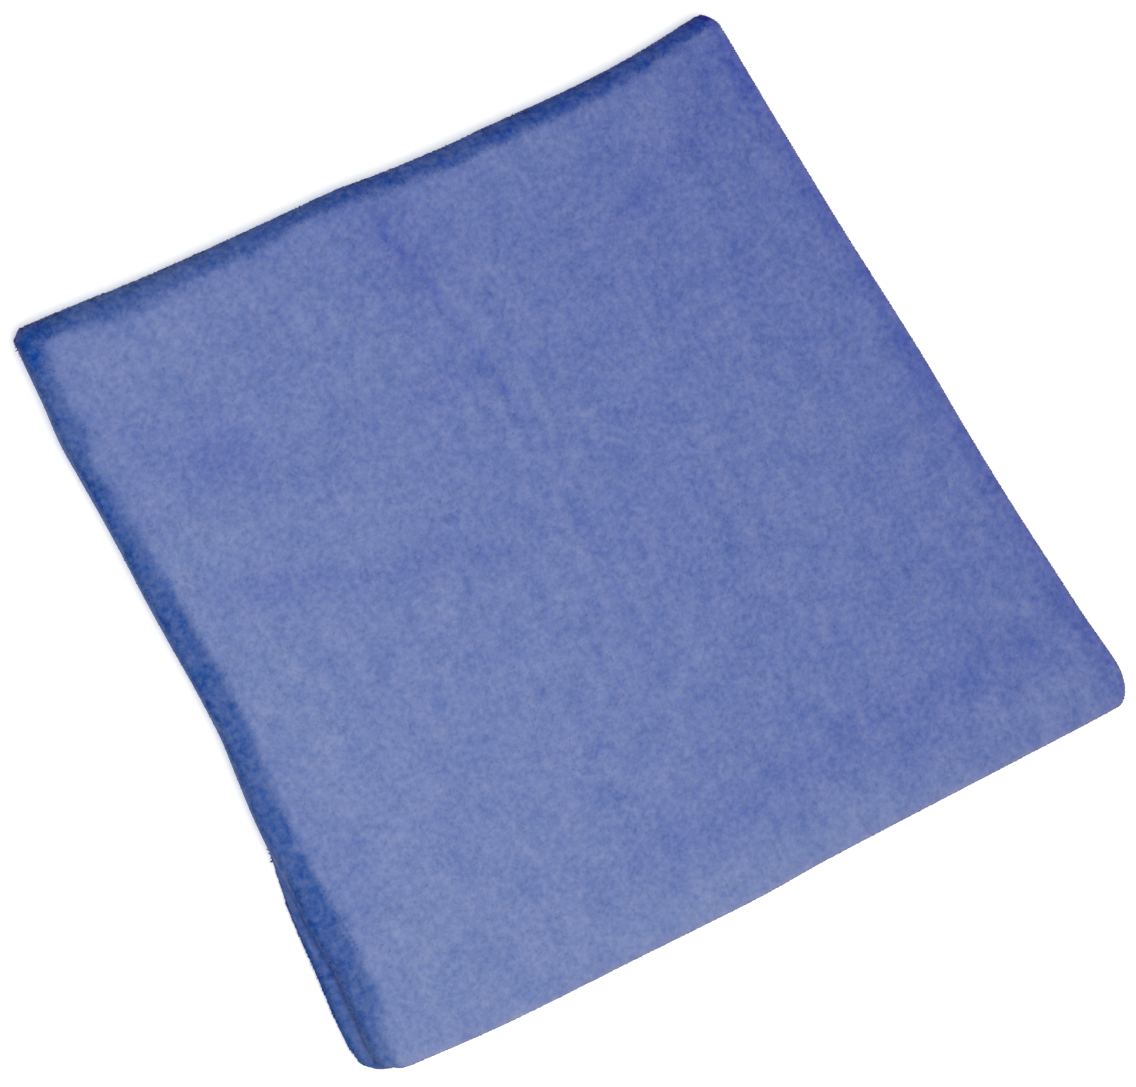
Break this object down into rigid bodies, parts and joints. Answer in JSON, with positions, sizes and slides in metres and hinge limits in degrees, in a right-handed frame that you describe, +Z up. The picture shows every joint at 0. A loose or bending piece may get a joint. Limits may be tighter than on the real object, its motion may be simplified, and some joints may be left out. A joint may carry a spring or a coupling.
{
  "type": "microfibre cloth",
  "caption": "Plush blue microfibre cloth, folded in half twice and lying flat, with two soft folded sides and two sides of free edges.",
  "frame": {"origin": "under the middle of the folded cloth, on the surface it lies on", "axes": "+Z up through the layers, +X from the first fold to the free edges at the right, +Y from the free edges at the near side to the second fold"},
  "size_m": [0.2178, 0.211, 0.0133],
  "materials": {
    "microfibre": "short dense plush, matt with a pale bloom on its lit faces"
  },
  "bodies": {
    "root": {"cloth": "microfibre"}
  },
  "joints": []
}
